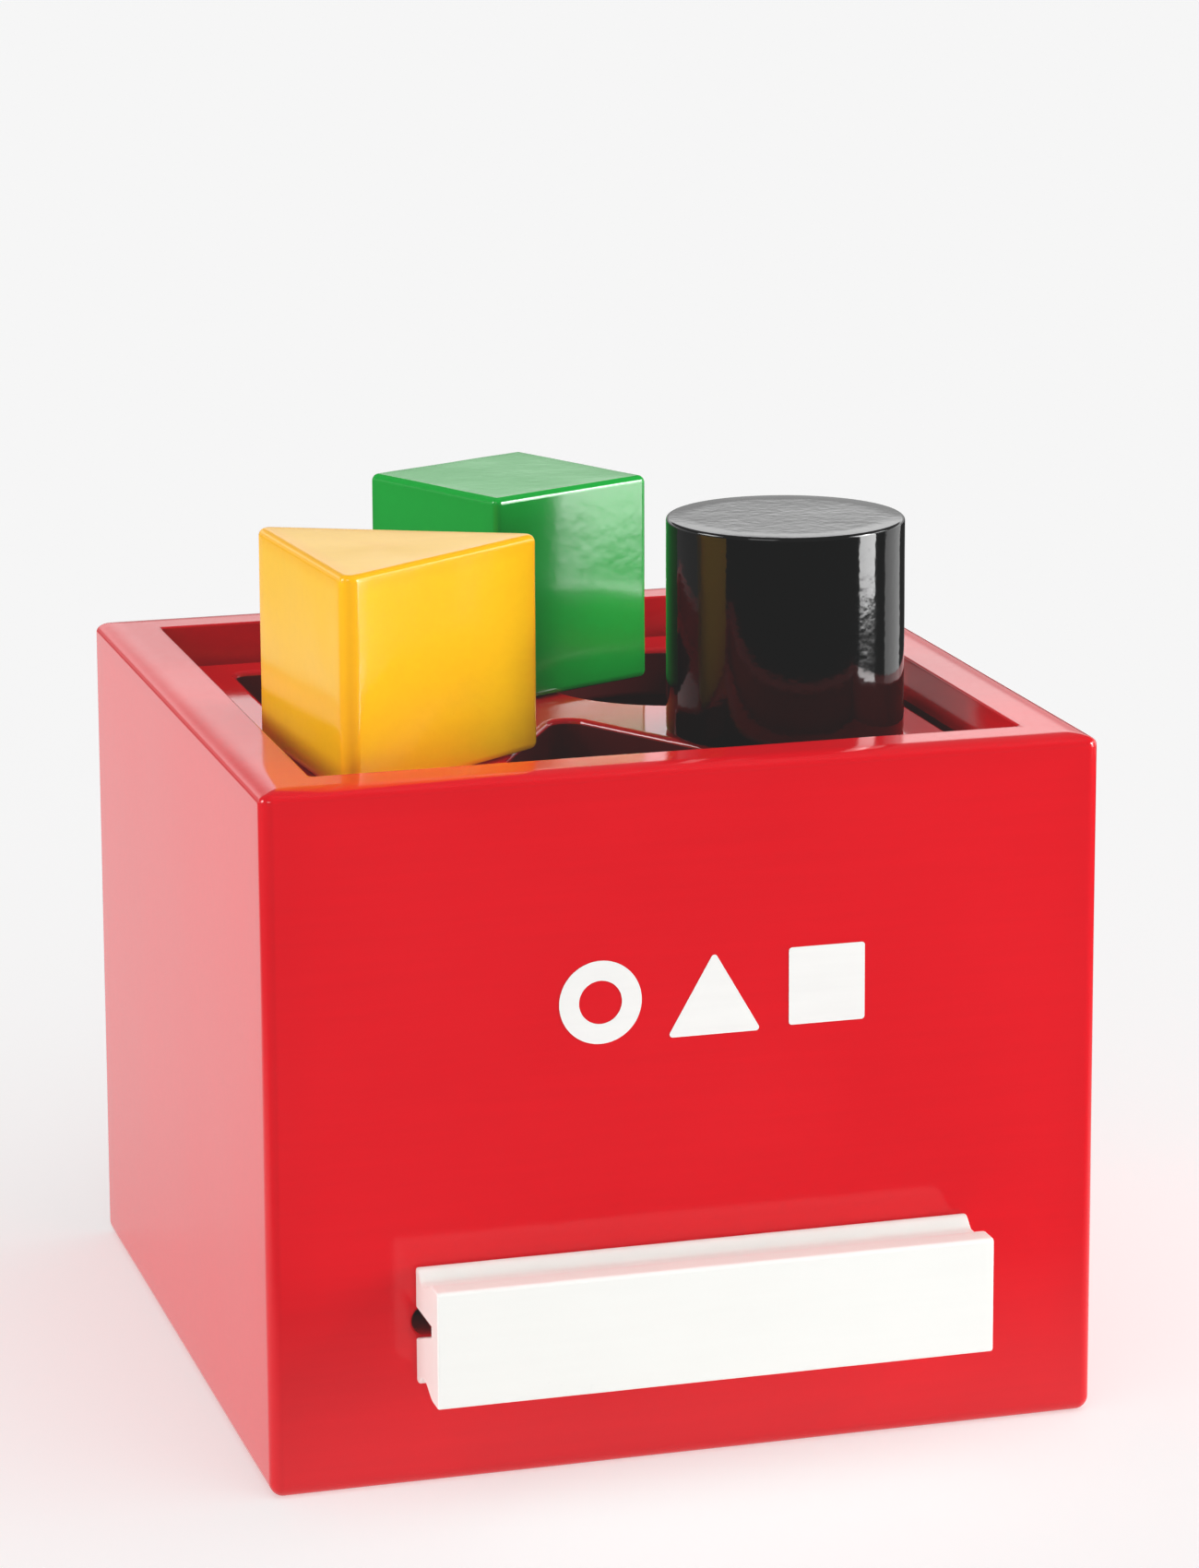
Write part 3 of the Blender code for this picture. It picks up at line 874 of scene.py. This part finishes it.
def floor():
    """A large pale table, with painted shade under the box. Its far parts in front and to the sides are
    dark in reflections only."""
    bm = bmesh.new()
    bmesh.ops.create_grid(bm, x_segments=2, y_segments=2, size=TABLE_HALF)
    table = object_from("floor", bm)
    material, tree, shader = shader_graph("pale_floor")
    coordinates = tree.nodes.new("ShaderNodeTexCoord")
    split = tree.nodes.new("ShaderNodeSeparateXYZ")
    tree.links.new(coordinates.outputs["Object"], split.inputs[0])
    x = split.outputs["X"]
    y = split.outputs["Y"]
    to_front = above(tree, math_node(tree, "MULTIPLY", y, -1.0), *DIM_IN_FRONT)
    to_right = above(tree, x, *DIM_TO_RIGHT)
    to_left = above(tree, math_node(tree, "MULTIPLY", x, -1.0), *DIM_TO_LEFT)
    to_left = math_node(tree, "MULTIPLY", to_left, DIM_LEFT_SHARE)
    dimmed = largest(tree, to_front, to_right, to_left)
    path = tree.nodes.new("ShaderNodeLightPath")
    mirrored = math_node(tree, "MULTIPLY", dimmed, path.outputs["Is Glossy Ray"])
    low, high = span(*WALLS)
    wide = math_node(tree, "ABSOLUTE", math_node(tree, "SUBTRACT", x, (low.x + high.x) / 2), 0.0)
    deep = math_node(tree, "ABSOLUTE", math_node(tree, "SUBTRACT", y, (low.y + high.y) / 2), 0.0)
    reach = (high.x - low.x) / 2 - UNDER_BOX_INSET
    # Under the box the table is dark and does not glow: painted shade.
    under = math_node(tree, "LESS_THAN", largest(tree, wide, deep), reach)
    dark = largest(tree, mirrored, under)
    tree.links.new(blend_colours(tree, dark, TABLE_TONE, TABLE_DARK), shader.inputs["Base Color"])
    tree.links.new(blend_colours(tree, dark, (1.0, 1.0, 1.0), (0.0, 0.0, 0.0)),
                   shader.inputs["Emission Color"])
    shader.inputs["Roughness"].default_value = 0.7
    shader.inputs["Specular IOR Level"].default_value = 0.0
    shader.inputs["Emission Strength"].default_value = TABLE_EMISSION
    table.data.materials.append(material)
    table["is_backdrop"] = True
    return table


def world():
    """Dim all round, with a bright low band behind the object; plain pale where it is seen."""
    sky = bpy.data.worlds.new("studio")
    bpy.context.scene.world = sky
    sky.use_nodes = True
    tree = sky.node_tree
    background = tree.nodes["Background"]
    coordinates = tree.nodes.new("ShaderNodeTexCoord")
    split = tree.nodes.new("ShaderNodeSeparateXYZ")
    tree.links.new(coordinates.outputs["Generated"], split.inputs[0])
    height = split.outputs["Z"]
    band = remap(tree, height, *BAND_LEVELS, *BAND_RISE)
    top = remap(tree, height, 1.0, BAND_TOP_SHARE, *BAND_FALL)
    behind = remap(tree, split.outputs["Y"], *BAND_BEHIND_SHARES, *BAND_BEHIND)
    rightward = remap(tree, split.outputs["X"], *BAND_RIGHT_SHARES, *BAND_RIGHT)
    level = math_node(tree, "MULTIPLY", math_node(tree, "MULTIPLY", band, top), behind)
    level = math_node(tree, "MULTIPLY", level, rightward)
    level = math_node(tree, "MAXIMUM", level, SKY_DIM)
    path = tree.nodes.new("ShaderNodeLightPath")
    seen = path.outputs["Is Camera Ray"]
    kept = math_node(tree, "MULTIPLY", level, math_node(tree, "SUBTRACT", 1.0, seen))
    total = math_node(tree, "ADD", kept, math_node(tree, "MULTIPLY", seen, PALE))
    tree.links.new(total, background.inputs["Strength"])
    background.inputs["Color"].default_value = (1.0, 1.0, 1.0, 1.0)


def lit_only(lamp, pieces):
    """Let a lamp light only some objects."""
    group = bpy.data.collections.new(lamp.name + "_lights")
    for piece in pieces:
        group.objects.link(piece)
    lamp.light_linking.receiver_collection = group


def softbox(name, direction, distance, width, height, radiance, mirrored=True, spread=True):
    """A rectangular softbox of even brightness, aimed at the middle of the object.
    It can be kept out of the reflections, or show in them alone."""
    aim = Vector((0.0, 0.0, 0.08))
    light = bpy.data.lights.new(name, "AREA")
    light.shape = "RECTANGLE"
    light.size = width
    light.size_y = height
    light.energy = radiance * math.pi * width * height
    lamp = bpy.data.objects.new(name, light)
    bpy.context.scene.collection.objects.link(lamp)
    away = Vector(direction).normalized()
    lamp.location = aim + distance * away
    lamp.rotation_euler = away.to_track_quat("Z", "Y").to_euler()
    lamp.visible_camera = False
    lamp.visible_glossy = mirrored
    lamp.visible_diffuse = spread
    lit_only(lamp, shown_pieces())
    return lamp


def table_light(table, strength):
    """A very wide light, high in front and to the right, for the table alone."""
    light = bpy.data.lights.new("table_light", "SUN")
    light.energy = strength
    light.angle = math.radians(110.0)
    lamp = bpy.data.objects.new("table_light", light)
    lamp.rotation_euler = Vector((0.25, -0.5, 0.83)).to_track_quat("Z", "Y").to_euler()
    bpy.context.scene.collection.objects.link(lamp)
    lit_only(lamp, [table])


def print_curve():
    """The picture's blacks are lifted a little, as in a printed catalogue."""
    look = bpy.context.scene.view_settings
    look.view_transform = "Standard"
    look.use_curve_mapping = True
    look.curve_mapping.black_level = (-BLACK_LIFT, -BLACK_LIFT, -BLACK_LIFT)
    look.curve_mapping.update()


def camera():
    """The photograph's view: a long lens, a little above the object and to its left."""
    azimuth = math.radians(-15.83925)
    elevation = math.radians(10.56316)
    roll = math.radians(0.31692)
    data = bpy.data.cameras.new("camera")
    data.sensor_fit = "AUTO"
    data.sensor_width = 36.0
    data.lens = 115.29
    data.shift_x = 0.017515
    data.shift_y = -0.173642
    data.clip_start = 0.05
    data.clip_end = 50.0
    view = bpy.data.objects.new("camera", data)
    bpy.context.scene.collection.objects.link(view)
    forward = Vector((-math.sin(azimuth) * math.cos(elevation),
                      math.cos(azimuth) * math.cos(elevation), -math.sin(elevation)))
    level_right = forward.cross(Vector((0.0, 0.0, 1.0))).normalized()
    level_down = forward.cross(level_right)
    right = math.cos(roll) * level_right + math.sin(roll) * level_down
    down = math.cos(roll) * level_down - math.sin(roll) * level_right
    turn = Matrix((right, -down, -forward)).transposed()
    view.matrix_world = Matrix.Translation((-0.25972, -0.90948, 0.34071)) @ turn.to_4x4()
    bpy.context.scene.camera = view


table_light(floor(), 2.1)
world()
softbox("key_softbox", (-0.45, -0.5, 0.74), 1.3, 0.5, 0.5, 3.4)
softbox("left_fill", (-0.9, -0.1, 0.38), 1.3, 0.7, 0.7, 5.5, mirrored=False)
softbox("low_fill", (-0.35, -0.93, 0.05), 1.4, 0.9, 0.3, 3.1, mirrored=False)
softbox("top_fill", (0.3, 0.15, 0.9), 1.3, 0.7, 0.7, 5.2, mirrored=False)
softbox("front_fill", (0.75, -0.65, 0.1), 1.4, 0.9, 0.3, 3.2, mirrored=False)
softbox("right_panel", (0.917, -0.395, 0.085), 0.77, 0.26, 0.3, 11.5)
softbox("right_haze", (0.96, 0.28, 0.117), 0.6, 0.34, 0.3, 1.2, spread=False)
softbox("right_lamp", (0.85, -0.3, 0.5), 1.1, 0.16, 0.16, 40.0)
softbox("left_sparkle", (-0.79, 0.19, 0.58), 1.3, 0.45, 0.45, 12.0, spread=False)
softbox("right_sparkle", (0.84, -0.36, 0.42), 1.25, 0.46, 0.6, 17.0, spread=False)
softbox("edge_sparkle", (0.88, 0.01, 0.47), 1.25, 0.35, 0.26, 6.0, spread=False)
camera()
print_curve()
